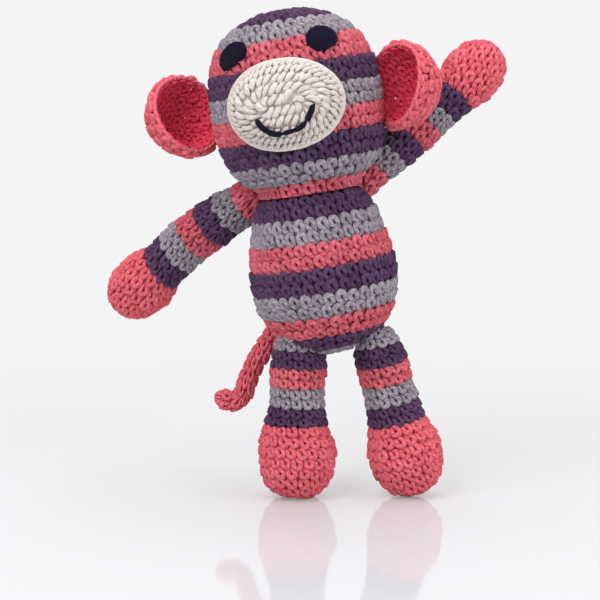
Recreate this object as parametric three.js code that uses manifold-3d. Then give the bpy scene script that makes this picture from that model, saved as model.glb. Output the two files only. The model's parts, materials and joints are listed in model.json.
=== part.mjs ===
// A crocheted monkey rattle: a stuffed cotton toy, sewn together at the neck, shoulders, hips and tail,
// with a capsule of loose beads in its belly.
// Millimetres and degrees, +Z up. The monkey faces -Y, and its own right side is at -X.
import * as THREE from "three";
import { mergeVertices } from "three/addons/utils/BufferGeometryUtils.js";
import Module from "manifold-3d";

// Fabric, yarn and fits
const fabricThickness = 2.6;
const seamYarnRadius = 0.5;
const clearance = 0.3;

// Torso: an egg that stands on its round base, cut off at the neck
const torsoRadius = 27.6;
const torsoWidestHeight = 27;
const torsoBasePower = 2.2;
const torsoShoulderReach = 49;
const torsoShoulderPower = 1.8;
const torsoEdgeRound = 2.6;
const torsoHeight = 60;
const torsoStandHeight = 55;
const torsoLean = 9;
const collarHeight = 1.6;
const collarInset = 3;
const neckOpeningRadius = 12;

// Head: a round barrel, cut off at the neck
const headRadius = 32.3;
const headCrownReach = 32.2;
const headCrownPower = 2.3;
const headJawReach = 36;
const headJawPower = 2.8;
const headJawHeight = 33;
const headTurn = -8;

// Muzzle and mouth
const muzzleWidth = 41.6;
const muzzleHeight = 33.4;
const muzzlePower = 2.3;
const muzzleProud = 8.5;
const muzzleSink = 7.5;
const muzzleDrop = 2.4;
const muzzleFabricThickness = 2.2;
const mouthHalfWidth = 10.2;
const mouthShift = 1.1;
const mouthSag = 7;
const mouthDrop = 2.5;
const mouthSlant = 1;
const mouthPower = 3.2;
const mouthThreadRadius = 0.85;

// Eyes: oval embroidered pads
const eyeWidth = 12.8;
const eyeHeight = 10.4;
const eyeProud = 1.7;
const rightEyeAzimuth = -37.2;
const rightEyeRise = 17.9;
const leftEyeAzimuth = 34.8;
const leftEyeRise = 19;

// Ears: cups that open forwards and inwards
const earRadius = 14.6;
const earDepth = 15;
const earPower = 2.2;
const rightEarOut = 39.8;
const leftEarOut = 37.8;
const earForward = 4;
const rightEarDrop = -0.5;
const leftEarDrop = 1.8;
const earInwardTurn = 54;
const earUpTurn = 18;

// Arms
const rightArmLength = 67.5;
const leftArmLength = 69.6;
const armRootRadius = 6.2;
const armRootOpening = 2;
const armTubeRadius = 9.1;
const armTubeRise = 14;
const armSeamRadius = 2.2;
const handRadius = 12;
const handSwell = 12;
const handTip = 16;
const handPower = 2.3;
const rightShoulderDrop = 6.2;
const rightShoulderBackTurn = 26;
const rightArmTilt = -38.5;
const rightArmBackTurn = 20;
const leftShoulderDrop = 4.8;
const leftShoulderBackTurn = 30;
const leftArmTilt = 46.5;
const leftArmBackTurn = 11;

// Legs: each is as long as it takes to reach the floor
const legRootRadius = 8.6;
const legRootOpening = 3.5;
const legTubeRadius = 10.6;
const legTubeRise = 8;
const legSeamRadius = 2.6;
const footRadius = 14.2;
const footSwell = 13;
const footTip = 18.5;
const footPower = 2.6;
const soleCut = 0.5;
const rightHipHeight = 1.7;
const rightHipAzimuth = 175;
const rightLegSplay = 2;
const rightLegForward = 6;
const leftHipHeight = 2.6;
const leftHipAzimuth = 4;
const leftLegSplay = 13;
const leftLegForward = 2;

// Tail
const tailRadius = 3.7;
const tailSeamRadius = 1.2;
const tailHang = 23.6;
const tailSideLean = 27;
const tailBackLean = 8;
const tailCurlRadius = 5.4;
const tailCurlTurn = 88;
const tailHeight = 9.5;
const tailAzimuth = 149;

// Rattle
const capsuleRadius = 14;
const capsuleWall = 1.2;
const capsuleFlange = 1.2;
const capsuleFlangeThickness = 1;
const capsuleHeight = 29;
const beadRadius = 2;
const beadCount = 5;
const beadGap = 0.5;

// Facets
const bodySegments = 24;
const limbSegments = 16;
const seamSegments = 16;
const ringSides = 6;
const outerSteps = 6;
const innerSteps = 4;
const limbOuterSteps = 5;
const limbInnerSteps = 4;
const tailSides = 10;
const tailSteps = 22;
const tailHangPoints = 3;
const tailCurlPoints = 5;
const mouthPoints = 6;
const mouthSteps = 18;
const beadSegments = 8;
const beadRings = 6;
const tiny = 1e-6;

const wasm = await Module();
wasm.setup();

function cloth(colour) {
  return new THREE.MeshStandardMaterial({ color: colour, roughness: 0.92 });
}

const coralYarn = () => cloth(0xd75f6b);
const purpleYarn = () => cloth(0x453250);
const creamYarn = () => cloth(0xcfc5bc);
const blackThread = () => cloth(0x25202f);
const fibre = () => cloth(0xf2efe8);
const capsulePlastic = () => new THREE.MeshStandardMaterial({ color: 0xe9e9e4, roughness: 0.35 });
const beadSteel = () => new THREE.MeshStandardMaterial({ color: 0xb9bcc0, roughness: 0.25, metalness: 1 });

const radians = THREE.MathUtils.degToRad;
const up = new THREE.Vector3(0, 0, 1);

// Radius of a rounded form at a distance from its widest place.
function swellRadius(radius, reach, power, distance) {
  const share = Math.min(Math.abs(distance) / reach, 1);
  return radius * (1 - share ** power) ** (1 / power);
}

// Outline points of a rounded form, from one height to another. Heights are counted from its widest place,
// and the points are spaced so that the form's end is as round as its side.
function swellPoints(radius, reach, power, centre, from, to, steps) {
  const angleAt = (distance) => {
    const share = Math.min(Math.abs(distance) / reach, 1);
    return Math.sign(distance) * Math.asin(share ** (power / 2));
  };
  const points = [];
  for (let i = 0; i <= steps; i += 1) {
    const angle = THREE.MathUtils.lerp(angleAt(from), angleAt(to), i / steps);
    const height = Math.sign(angle) * reach * Math.abs(Math.sin(angle)) ** (2 / power);
    const width = radius * Math.cos(angle) ** (2 / power);
    points.push(new THREE.Vector2(width < tiny ? 0 : width, centre + height));
  }
  return points;
}

// A solid of revolution about Z. The outline runs up the outside, so that its faces point outwards.
function turned(points, segments) {
  const kept = points.filter((point, i) => i === 0 || point.distanceTo(points[i - 1]) > tiny);
  return new THREE.LatheGeometry(kept, segments).rotateX(Math.PI / 2);
}

// Closed solids for cuts and joins
function toSolid(geometry) {
  const bare = geometry.clone();
  bare.deleteAttribute("normal");
  bare.deleteAttribute("uv");
  const merged = mergeVertices(bare, 1e-4);
  const corners = merged.index.array;
  const triangles = [];
  for (let i = 0; i < corners.length; i += 3) {
    const [a, b, c] = corners.slice(i, i + 3);
    if (a !== b && b !== c && c !== a) triangles.push(a, b, c);
  }
  return new wasm.Manifold(
    new wasm.Mesh({
      numProp: 3,
      vertProperties: new Float32Array(merged.attributes.position.array),
      triVerts: new Uint32Array(triangles),
    }),
  );
}

function toGeometry(solid) {
  const mesh = solid.getMesh();
  const geometry = new THREE.BufferGeometry();
  geometry.setAttribute("position", new THREE.BufferAttribute(new Float32Array(mesh.vertProperties), 3));
  geometry.setIndex(new THREE.BufferAttribute(new Uint32Array(mesh.triVerts), 1));
  geometry.computeVertexNormals();
  return geometry;
}

function cut(geometry, ...tools) {
  return toGeometry(tools.reduce((solid, tool) => solid.subtract(toSolid(tool)), toSolid(geometry)));
}

function addPiece(group, name, geometry, material) {
  const piece = new THREE.Mesh(geometry, material);
  piece.name = name;
  group.add(piece);
  return piece;
}

const toy = new THREE.Group();
const spine = new THREE.Group();
spine.position.z = torsoStandHeight;
spine.rotation.y = -radians(torsoLean);
toy.add(spine);

// Torso skin
const collarBase = torsoHeight - collarHeight;
const edgeBase = collarBase - torsoEdgeRound;

function torsoSideRadius(height) {
  const reach = height < torsoWidestHeight ? torsoWidestHeight : torsoShoulderReach;
  const power = height < torsoWidestHeight ? torsoBasePower : torsoShoulderPower;
  return swellRadius(torsoRadius, reach, power, height - torsoWidestHeight);
}

// The top edge rounds in from the side to the collar.
function torsoRadiusAt(height) {
  const overEdge = Math.max(height - edgeBase, 0);
  return torsoSideRadius(height) - collarInset + swellRadius(collarInset, torsoEdgeRound, 2, overEdge);
}

const collarRadius = torsoRadiusAt(collarBase);

// The torso's outline, drawn in from the outside by a depth, from its base up to its rounded top edge.
function torsoOutline(inset, steps) {
  const radius = torsoRadius - inset;
  const depth = torsoWidestHeight - inset;
  const high = edgeBase - torsoWidestHeight;
  const base = swellPoints(radius, depth, torsoBasePower, torsoWidestHeight, -depth, 0, steps);
  const swell = [radius, torsoShoulderReach, torsoShoulderPower];
  return [...base, ...swellPoints(...swell, torsoWidestHeight, 0, high, steps)];
}

function torsoSkin() {
  const outside = torsoOutline(0, outerSteps);
  const inside = torsoOutline(fabricThickness, innerSteps).reverse();
  const edge = swellPoints(collarInset, torsoEdgeRound, 2, edgeBase, 0, torsoEdgeRound, outerSteps);
  const rim = [
    ...edge.map((point) => new THREE.Vector2(torsoRadiusAt(point.y), point.y)),
    new THREE.Vector2(collarRadius, torsoHeight),
    new THREE.Vector2(neckOpeningRadius, torsoHeight),
    new THREE.Vector2(neckOpeningRadius, edgeBase),
  ];
  return turned([...outside, ...rim, ...inside], bodySegments);
}

addPiece(spine, "torso_skin", torsoSkin(), purpleYarn());

// Rattle capsule: two flanged half shells
const capsuleOuterRadius = capsuleRadius + capsuleFlange;

function capsuleHalf() {
  const inner = capsuleRadius - capsuleWall;
  const floor = clearance / 2;
  const flangeTop = floor + capsuleFlangeThickness;
  const outline = [
    ...swellPoints(inner, inner, 2, 0, inner, floor, outerSteps),
    new THREE.Vector2(capsuleOuterRadius, floor),
    new THREE.Vector2(capsuleOuterRadius, flangeTop),
    ...swellPoints(capsuleRadius, capsuleRadius, 2, 0, flangeTop, capsuleRadius, outerSteps),
  ];
  return turned(outline, bodySegments);
}

const capsuleUpper = addPiece(spine, "rattle_capsule_upper", capsuleHalf(), capsulePlastic());
capsuleUpper.position.z = capsuleHeight;
const capsuleLower = addPiece(spine, "rattle_capsule_lower", capsuleHalf(), capsulePlastic());
capsuleLower.position.z = capsuleHeight;
capsuleLower.rotation.x = Math.PI;

// Torso stuffing: two wads that close round the capsule
const stuffingInset = fabricThickness + clearance;
const pocketRadius = capsuleOuterRadius + clearance;
const wadGap = clearance / 2;

function pocketPoints(from, to) {
  return swellPoints(pocketRadius, pocketRadius, 2, capsuleHeight, from, to, outerSteps);
}

// The place where the stuffing's outline crosses a height.
function crossing(outline, height) {
  const i = outline.findIndex((point) => point.y > height);
  const [low, high] = [outline[i - 1], outline[i]];
  return low.clone().lerp(high, (height - low.y) / (high.y - low.y));
}

function lowerWad() {
  const top = capsuleHeight - wadGap;
  const outline = torsoOutline(stuffingInset, innerSteps);
  const outside = [...outline.filter((point) => point.y < top), crossing(outline, top)];
  const pocket = pocketPoints(-wadGap, -pocketRadius);
  return turned([...outside, ...pocket], bodySegments);
}

function upperWad() {
  const bottom = capsuleHeight + wadGap;
  const shoulder = edgeBase - clearance;
  const plug = neckOpeningRadius - clearance;
  const outline = torsoOutline(stuffingInset, innerSteps);
  const between = outline.filter((point) => point.y > bottom && point.y < shoulder);
  const outside = [crossing(outline, bottom), ...between, crossing(outline, shoulder)];
  const pocket = pocketPoints(pocketRadius, wadGap);
  const neck = [
    new THREE.Vector2(plug, shoulder),
    new THREE.Vector2(plug, torsoHeight),
    new THREE.Vector2(0, torsoHeight),
  ];
  return turned([...pocket, ...outside, ...neck], bodySegments);
}

addPiece(spine, "torso_stuffing_lower", lowerWad(), fibre());
addPiece(spine, "torso_stuffing_upper", upperWad(), fibre());

// Beads: each rolls in its own lane round the capsule, and lies at the bottom of it
spine.updateWorldMatrix(true, false);
const capsuleCentre = spine.localToWorld(new THREE.Vector3(0, 0, capsuleHeight));
const beadOrbit = capsuleRadius - capsuleWall - beadRadius - beadGap;
const beadPitch = 2 * beadRadius + clearance;
for (let i = 0; i < beadCount; i += 1) {
  const lane = (i - (beadCount - 1) / 2) * beadPitch;
  const ball = new THREE.SphereGeometry(beadRadius, beadSegments, beadRings);
  const bead = addPiece(toy, `rattle_bead_${i + 1}`, ball, beadSteel());
  bead.position.copy(capsuleCentre);
  bead.position.y += lane;
  bead.position.z -= Math.sqrt(beadOrbit ** 2 - lane ** 2);
}

// Head skin and stuffing, about the head's widest place
const head = new THREE.Group();
head.name = "head";
head.position.z = torsoHeight + clearance + headJawHeight;
head.rotation.z = radians(headTurn);
spine.add(head);

function headRadiusAt(height) {
  if (height > 0) return swellRadius(headRadius, headCrownReach, headCrownPower, height);
  return swellRadius(headRadius, headJawReach, headJawPower, height);
}

// The head's outline, drawn in from the outside by a depth, from the jaw up to the crown.
function headOutline(inset, bottom, steps) {
  const radius = headRadius - inset;
  const crown = headCrownReach - inset;
  const jaw = swellPoints(radius, headJawReach, headJawPower, 0, bottom, 0, steps);
  return [...jaw, ...swellPoints(radius, crown, headCrownPower, 0, 0, crown, steps)];
}

function headSkin() {
  const floor = -headJawHeight + fabricThickness;
  const inside = headOutline(fabricThickness, floor, innerSteps).reverse();
  const outside = headOutline(0, -headJawHeight, outerSteps);
  const neck = [
    new THREE.Vector2(neckOpeningRadius, floor),
    new THREE.Vector2(neckOpeningRadius, -headJawHeight),
  ];
  return turned([...inside, ...neck, ...outside], bodySegments);
}

function headStuffing() {
  const floor = -headJawHeight + stuffingInset;
  const plug = neckOpeningRadius - clearance;
  const outline = [
    new THREE.Vector2(0, -headJawHeight),
    new THREE.Vector2(plug, -headJawHeight),
    new THREE.Vector2(plug, floor),
    ...headOutline(stuffingInset, floor, innerSteps),
  ];
  return turned(outline, bodySegments);
}

// The room that the head takes, for trimming what is sewn on to it.
function headRoom() {
  const outside = headOutline(-clearance, -headJawHeight, outerSteps);
  return turned([new THREE.Vector2(0, -headJawHeight), ...outside], bodySegments);
}

addPiece(head, "head_skin", headSkin(), purpleYarn());
addPiece(head, "head_stuffing", headStuffing(), fibre());

// Muzzle: an oval dome that the face trims at the back
const muzzleCentre = new THREE.Vector3(0, muzzleSink - headRadiusAt(-muzzleDrop), -muzzleDrop);
const muzzleFront = muzzleSink + muzzleProud;

function muzzleDome(inset) {
  const half = muzzleWidth / 2 - inset;
  const front = muzzleFront - inset;
  const back = muzzleSink - inset;
  const outline = [
    ...swellPoints(half, back, 2, 0, -back, 0, innerSteps),
    ...swellPoints(half, front, muzzlePower, 0, 0, front, outerSteps),
  ];
  const dome = turned(outline, bodySegments);
  dome.scale(1, (muzzleHeight / 2 - inset) / half, 1);
  dome.rotateX(Math.PI / 2);
  return dome.translate(muzzleCentre.x, muzzleCentre.y, muzzleCentre.z);
}

const muzzleSkin = cut(muzzleDome(0), muzzleDome(muzzleFabricThickness), headRoom());
addPiece(head, "muzzle_skin", muzzleSkin, creamYarn());
addPiece(head, "muzzle_stuffing", cut(muzzleDome(muzzleFabricThickness + clearance), headRoom()), fibre());

// Mouth: one thread that curves along the muzzle
function roundSection(radius, sides) {
  const section = new THREE.Shape();
  for (let i = 0; i < sides; i += 1) {
    const angle = (2 * Math.PI * i) / sides;
    const [x, y] = [radius * Math.cos(angle), radius * Math.sin(angle)];
    if (i === 0) section.moveTo(x, y);
    else section.lineTo(x, y);
  }
  return section;
}

function mouthThread() {
  const lift = mouthThreadRadius + clearance;
  const half = muzzleWidth / 2 + lift;
  const rise = muzzleHeight / 2 + lift;
  const points = [];
  for (let i = 0; i <= mouthPoints; i += 1) {
    const across = (2 * i) / mouthPoints - 1;
    const x = across * mouthHalfWidth + mouthShift;
    const z = mouthSlant * across - mouthDrop - mouthSag * (1 - Math.abs(across) ** mouthPower);
    const spread = Math.hypot(x / half, z / rise);
    const front = swellRadius(muzzleFront + lift, 1, muzzlePower, spread);
    points.push(new THREE.Vector3(x, -front, z).add(muzzleCentre));
  }
  return new THREE.ExtrudeGeometry(roundSection(mouthThreadRadius, ringSides), {
    steps: mouthSteps,
    extrudePath: new THREE.CatmullRomCurve3(points),
    bevelEnabled: false,
  });
}

addPiece(head, "mouth_thread", mouthThread(), blackThread());

// How fast a form's radius changes with height.
function slopeOf(radiusAt, height) {
  const step = 0.2;
  return (radiusAt(height + step) - radiusAt(height - step)) / (2 * step);
}

// Eyes: pads that lie on the face
function eyePad(azimuth, rise) {
  const out = headRadiusAt(rise);
  const lean = Math.atan(-slopeOf(headRadiusAt, rise));
  const pad = new THREE.SphereGeometry(1, limbSegments, outerSteps);
  pad.scale(eyeWidth / 2, eyeProud + clearance, eyeHeight / 2);
  pad.rotateX(-lean);
  pad.translate(0, -out, rise);
  pad.rotateZ(radians(azimuth));
  return cut(pad, headRoom());
}

addPiece(head, "right_eye", eyePad(rightEyeAzimuth, rightEyeRise), blackThread());
addPiece(head, "left_eye", eyePad(leftEyeAzimuth, leftEyeRise), blackThread());

// Ears: cups whose inner edge the head trims
function earCup(side, out, drop) {
  const inner = earRadius - fabricThickness;
  const hollow = earDepth - fabricThickness;
  const outline = [
    ...swellPoints(earRadius, earDepth, earPower, 0, -earDepth, 0, outerSteps),
    ...swellPoints(inner, hollow, earPower, 0, 0, -hollow, outerSteps),
  ];
  const facing = new THREE.Vector3(
    -side * Math.sin(radians(earInwardTurn)) * Math.cos(radians(earUpTurn)),
    -Math.cos(radians(earInwardTurn)) * Math.cos(radians(earUpTurn)),
    Math.sin(radians(earUpTurn)),
  );
  const cup = turned(outline, limbSegments);
  cup.applyQuaternion(new THREE.Quaternion().setFromUnitVectors(up, facing));
  cup.translate(side * out, -earForward, -drop);
  return cut(cup, headRoom());
}

addPiece(head, "right_ear", earCup(-1, rightEarOut, rightEarDrop), coralYarn());
addPiece(head, "left_ear", earCup(1, leftEarOut, leftEarDrop), coralYarn());

// Seams: a ring of sewing yarn
function seamRing(radius, segments) {
  return new THREE.TorusGeometry(radius, seamYarnRadius, ringSides, segments);
}

const neckSeamRadius = collarRadius + clearance + seamYarnRadius;
const neckSeam = addPiece(spine, "neck_seam", seamRing(neckSeamRadius, bodySegments), purpleYarn());
neckSeam.position.z = torsoHeight - collarHeight / 2;

// A place on the torso, with the direction that points straight out of it there.
function torsoSeat(height, azimuth) {
  const radius = torsoRadiusAt(height);
  const [x, y] = [Math.cos(radians(azimuth)), Math.sin(radians(azimuth))];
  const point = new THREE.Vector3(radius * x, radius * y, height);
  const normal = new THREE.Vector3(x, y, -slopeOf(torsoRadiusAt, height)).normalize();
  return { point, normal };
}

// A limb's pivot is the centre of its round root, which sits on a ring of sewing yarn on the torso.
function sewOn(name, seat, rootRadius, seamRadius, seamName) {
  const ringLift = clearance + seamYarnRadius;
  const pivotLift = ringLift + Math.sqrt((rootRadius + ringLift) ** 2 - seamRadius ** 2);
  const ring = addPiece(spine, seamName, seamRing(seamRadius, seamSegments), coralYarn());
  ring.position.copy(seat.point).addScaledVector(seat.normal, ringLift);
  ring.quaternion.setFromUnitVectors(up, seat.normal);
  const pivot = seat.point.clone().addScaledVector(seat.normal, pivotLift);
  const limb = new THREE.Group();
  limb.name = name;
  limb.position.copy(spine.localToWorld(pivot));
  toy.add(limb);
  return limb;
}

// Limbs: a round root, a tube and a bulb, drawn in from the outside by a depth
const arm = {
  rootRadius: armRootRadius,
  rootOpening: armRootOpening,
  tubeRadius: armTubeRadius,
  tubeRise: armTubeRise,
  bulbRadius: handRadius,
  bulbSwell: handSwell,
  bulbTip: handTip,
  bulbPower: handPower,
};
const leg = {
  rootRadius: legRootRadius,
  rootOpening: legRootOpening,
  tubeRadius: legTubeRadius,
  tubeRise: legTubeRise,
  bulbRadius: footRadius,
  bulbSwell: footSwell,
  bulbTip: footTip,
  bulbPower: footPower,
};

function easedPoints(fromRadius, toRadius, fromHeight, toHeight, steps) {
  const points = [];
  for (let i = 0; i <= steps; i += 1) {
    const share = i / steps;
    const radius = THREE.MathUtils.lerp(fromRadius, toRadius, THREE.MathUtils.smoothstep(share, 0, 1));
    points.push(new THREE.Vector2(radius, THREE.MathUtils.lerp(fromHeight, toHeight, share)));
  }
  return points;
}

function limbOutline(limb, length, inset, rootHole, steps) {
  const root = limb.rootRadius - inset;
  const tube = limb.tubeRadius - inset;
  const bulb = limb.bulbRadius - inset;
  const widest = length - limb.bulbTip;
  const tip = limb.bulbTip - inset;
  const rootEnd = -Math.sqrt(root ** 2 - rootHole ** 2);
  return [
    ...swellPoints(root, root, 2, 0, rootEnd, 0, steps - 2),
    ...easedPoints(root, tube, 0, limb.tubeRise, steps - 2),
    ...easedPoints(tube, bulb, widest - limb.bulbSwell, widest, steps - 1),
    ...swellPoints(bulb, tip, limb.bulbPower, widest, 0, tip, steps),
  ];
}

function limbSkin(limb, length) {
  const inside = limbOutline(limb, length, fabricThickness, limb.rootOpening, limbInnerSteps).reverse();
  const outside = limbOutline(limb, length, 0, limb.rootOpening, limbOuterSteps);
  return turned([...inside, ...outside], limbSegments);
}

function limbStuffing(limb, length) {
  return turned(limbOutline(limb, length, stuffingInset, 0, limbInnerSteps), limbSegments);
}

// Arms
function addArm(name, seat, length, tilt, backTurn) {
  const group = sewOn(`${name}_arm`, seat, armRootRadius, armSeamRadius, `${name}_shoulder_seam`);
  const side = Math.sign(seat.normal.x);
  const direction = new THREE.Vector3(
    side * Math.cos(radians(tilt)) * Math.cos(radians(backTurn)),
    Math.sin(radians(backTurn)),
    Math.sin(radians(tilt)) * Math.cos(radians(backTurn)),
  );
  group.quaternion.setFromUnitVectors(up, direction);
  addPiece(group, `${name}_arm_skin`, limbSkin(arm, length), coralYarn());
  addPiece(group, `${name}_arm_stuffing`, limbStuffing(arm, length), fibre());
}

const rightShoulder = torsoSeat(torsoHeight - rightShoulderDrop, 180 - rightShoulderBackTurn);
const leftShoulder = torsoSeat(torsoHeight - leftShoulderDrop, leftShoulderBackTurn);
addArm("right", rightShoulder, rightArmLength, rightArmTilt, rightArmBackTurn);
addArm("left", leftShoulder, leftArmLength, leftArmTilt, leftArmBackTurn);

// Legs: the sole is pressed flat on the floor
function lowestPoint(outline, tilt) {
  return Math.max(...outline.map((point) => point.y * Math.cos(tilt) + point.x * Math.sin(tilt)));
}

function addLeg(name, seat, splay, forward) {
  const group = sewOn(`${name}_leg`, seat, legRootRadius, legSeamRadius, `${name}_hip_seam`);
  const side = Math.sign(seat.normal.x);
  const direction = new THREE.Vector3(
    side * Math.tan(radians(splay)),
    -Math.tan(radians(forward)),
    -1,
  ).normalize();
  const tilt = Math.acos(-direction.z);
  const reach = group.position.z + soleCut;
  const guessLength = 2 * footTip + legTubeRise;
  const short = reach - lowestPoint(limbOutline(leg, guessLength, 0, 0, limbOuterSteps), tilt);
  const length = guessLength + short / Math.cos(tilt);
  group.quaternion.setFromUnitVectors(up, direction);
  group.updateWorldMatrix(true, false);
  const floor = new THREE.BoxGeometry(4 * footRadius, 4 * footRadius, footTip);
  const foot = direction.clone().multiplyScalar(length).add(group.position);
  floor.translate(foot.x, foot.y, -footTip / 2);
  floor.applyMatrix4(group.matrixWorld.clone().invert());
  addPiece(group, `${name}_leg_skin`, cut(limbSkin(leg, length), floor), coralYarn());
  addPiece(group, `${name}_leg_stuffing`, limbStuffing(leg, length), fibre());
}

addLeg("right", torsoSeat(rightHipHeight, rightHipAzimuth), rightLegSplay, rightLegForward);
addLeg("left", torsoSeat(leftHipHeight, leftHipAzimuth), leftLegSplay, leftLegForward);

// Tail: a thin tube that hangs behind the right leg and curls up at its tip
function tailRoute() {
  const side = radians(tailSideLean);
  const down = new THREE.Vector3(-Math.sin(side), Math.sin(radians(tailBackLean)), -Math.cos(side));
  const inward = new THREE.Vector3(-Math.cos(side), 0, Math.sin(side));
  const points = [];
  for (let i = 0; i <= tailHangPoints; i += 1) {
    points.push(down.clone().multiplyScalar((tailHang * i) / tailHangPoints));
  }
  for (let i = 1; i <= tailCurlPoints; i += 1) {
    const turn = (radians(tailCurlTurn) * i) / tailCurlPoints;
    const ahead = tailHang + tailCurlRadius * Math.sin(turn);
    const aside = tailCurlRadius * (1 - Math.cos(turn));
    points.push(down.clone().multiplyScalar(ahead).addScaledVector(inward, aside));
  }
  return points;
}

function roundEnd(place) {
  const ball = new THREE.SphereGeometry(tailRadius, tailSides, tailSides / 2);
  return toSolid(ball.translate(place.x, place.y, place.z));
}

function addTail() {
  const group = sewOn("tail", torsoSeat(tailHeight, tailAzimuth), tailRadius, tailSeamRadius, "tail_seam");
  const route = tailRoute();
  const tube = new THREE.ExtrudeGeometry(roundSection(tailRadius, tailSides), {
    steps: tailSteps,
    extrudePath: new THREE.CatmullRomCurve3(route),
    bevelEnabled: false,
  });
  const solid = toSolid(tube).add(roundEnd(route[0])).add(roundEnd(route.at(-1)));
  addPiece(group, "tail", toGeometry(solid), coralYarn());
}

addTail();

// The origin is under the middle of the toy, on the floor
toy.updateMatrixWorld(true);
const room = new THREE.Box3().setFromObject(toy, true);
toy.position.set(-(room.min.x + room.max.x) / 2, -(room.min.y + room.max.y) / 2, -room.min.z);

const monkeyRattle = new THREE.Group();
monkeyRattle.add(toy);

export default monkeyRattle;
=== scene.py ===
import json
import math

import bpy
import numpy as np
from mathutils import Matrix, Vector, noise
from mathutils.bvhtree import BVHTree


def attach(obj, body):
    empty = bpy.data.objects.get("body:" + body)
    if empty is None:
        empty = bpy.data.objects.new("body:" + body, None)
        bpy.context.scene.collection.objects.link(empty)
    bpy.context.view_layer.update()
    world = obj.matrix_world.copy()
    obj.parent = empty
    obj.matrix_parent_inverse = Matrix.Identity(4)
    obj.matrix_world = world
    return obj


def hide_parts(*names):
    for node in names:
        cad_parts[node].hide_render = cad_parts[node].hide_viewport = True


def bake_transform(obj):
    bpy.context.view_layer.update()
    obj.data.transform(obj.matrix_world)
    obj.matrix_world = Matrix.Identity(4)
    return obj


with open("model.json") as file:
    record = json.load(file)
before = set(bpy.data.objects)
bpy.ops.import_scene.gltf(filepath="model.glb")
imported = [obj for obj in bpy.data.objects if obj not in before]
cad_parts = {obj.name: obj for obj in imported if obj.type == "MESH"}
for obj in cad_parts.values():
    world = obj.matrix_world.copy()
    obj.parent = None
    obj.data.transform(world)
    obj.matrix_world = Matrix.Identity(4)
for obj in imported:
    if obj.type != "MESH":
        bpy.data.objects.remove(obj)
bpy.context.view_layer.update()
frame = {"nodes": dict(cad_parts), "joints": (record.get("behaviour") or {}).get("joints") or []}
nodes = frame["nodes"]
hinges = {joint["name"]: joint for joint in frame["joints"]}
mm = 0.001
dice = np.random.default_rng(seed=11)
scene = bpy.context.scene
scene.view_settings.view_transform = "Standard"
print("frame loaded:", len(nodes), "solids")


# Small tools

def unit(vectors):
    return vectors / np.linalg.norm(vectors, axis=-1, keepdims=True)


def runAlong(line):
    # how far along a line each of its points is
    return np.concatenate([[0], np.cumsum(np.linalg.norm(np.diff(line, axis=0), axis=1))])


def softened(values, axis):
    # each value keeps half of itself and takes a quarter of each neighbour round the ring
    return (np.roll(values, 1, axis) + 2 * values + np.roll(values, -1, axis)) / 4


def placesOf(mesh):
    return np.array([vertex.co for vertex in mesh.vertices])


def pickOnly(piece):
    bpy.ops.object.select_all(action="DESELECT")
    piece.select_set(True)
    bpy.context.view_layer.objects.active = piece


def treeOf(nodeName):
    mesh = nodes[nodeName].data
    faces = [tuple(face.vertices) for face in mesh.polygons]
    return BVHTree.FromPolygons([vertex.co for vertex in mesh.vertices], faces)


def isOutside(place, tree, slack):
    # a place may lie as deep in the solid as the slack
    near, normal = tree.find_nearest(Vector(place))[:2]
    return (Vector(place) - near).dot(normal) > -slack * mm


# Finishes

def fromScreen(colour):
    # a screen colour of 0 to 255, made linear by the sRGB curve
    shares = np.array(colour) / 255
    linear = np.where(shares <= 0.04045, shares / 12.92, ((shares + 0.055) / 1.055) ** 2.4)
    return (*linear.tolist(), 1.0)


def newMaterial(name):
    material = bpy.data.materials.new(name)
    material.use_nodes = True
    return material, material.node_tree


def setInputs(tree, node, inputs):
    # an input that is given as another node's output is wired to it
    for key, value in inputs.items():
        if isinstance(value, bpy.types.NodeSocket):
            tree.links.new(value, node.inputs[key])
        else:
            node.inputs[key].default_value = value


def addNode(tree, kind, output, inputs=None, **settings):
    # gives the new node's output
    node = tree.nodes.new("ShaderNode" + kind)
    for key, value in settings.items():
        setattr(node, key, value)
    setInputs(tree, node, inputs or {})
    return node.outputs[output]


def addMath(tree, operation, *values):
    return addNode(tree, "Math", 0, dict(enumerate(values)), operation=operation)


yarnLooks = {
    "coral": {"light": (249, 129, 141), "deep": (186, 58, 75), "mottle": 0.35, "sheen": 0.2},
    # the coral yarn again, darker, for the stripes: painted shade between their stitches
    "stripeShadeCoral": {"light": (236, 124, 137), "deep": (150, 42, 58), "mottle": 0.35, "sheen": 0.2},
    "purple": {"light": (104, 76, 109), "deep": (38, 20, 43), "mottle": 0.4, "sheen": 0.15},
    "grey": {"light": (176, 167, 176), "deep": (84, 75, 87), "mottle": 0.5, "sheen": 0.15},
    "cream": {"light": (230, 221, 213), "deep": (208, 198, 189), "mottle": 0.4, "sheen": 0.15},
    # the coral yarn again, darker and redder, for the inside of the ears: painted shade of the cup's hollow
    "hollowShadeCoral": {"light": (248, 90, 116), "deep": (202, 47, 74), "mottle": 0.4, "sheen": 0.1},
}
threadLook = {"light": (30, 23, 48), "deep": (12, 9, 25), "mottle": 0.3, "sheen": 0, "roughness": 0.8}
twist = {
    "pitch": 2.4,
    "plies": 2,
    "plyGrooveShade": 0.3,
    "shadeShare": 0.3,
    "slowShare": 0.12,
    "slow": {"Scale": 150, "Detail": 2},
    "fuzz": {"Scale": 1500, "Detail": 3},
    "fuzzRange": {"From Min": 0.33, "From Max": 0.67},
    "fuzzHeight": 0.6,
    "bump": {"Strength": 0.8, "Distance": 0.3 * mm},
    "roughness": 0.9,
    "specular": 0.18,
    "sheenRoughness": 0.5,
}


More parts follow.
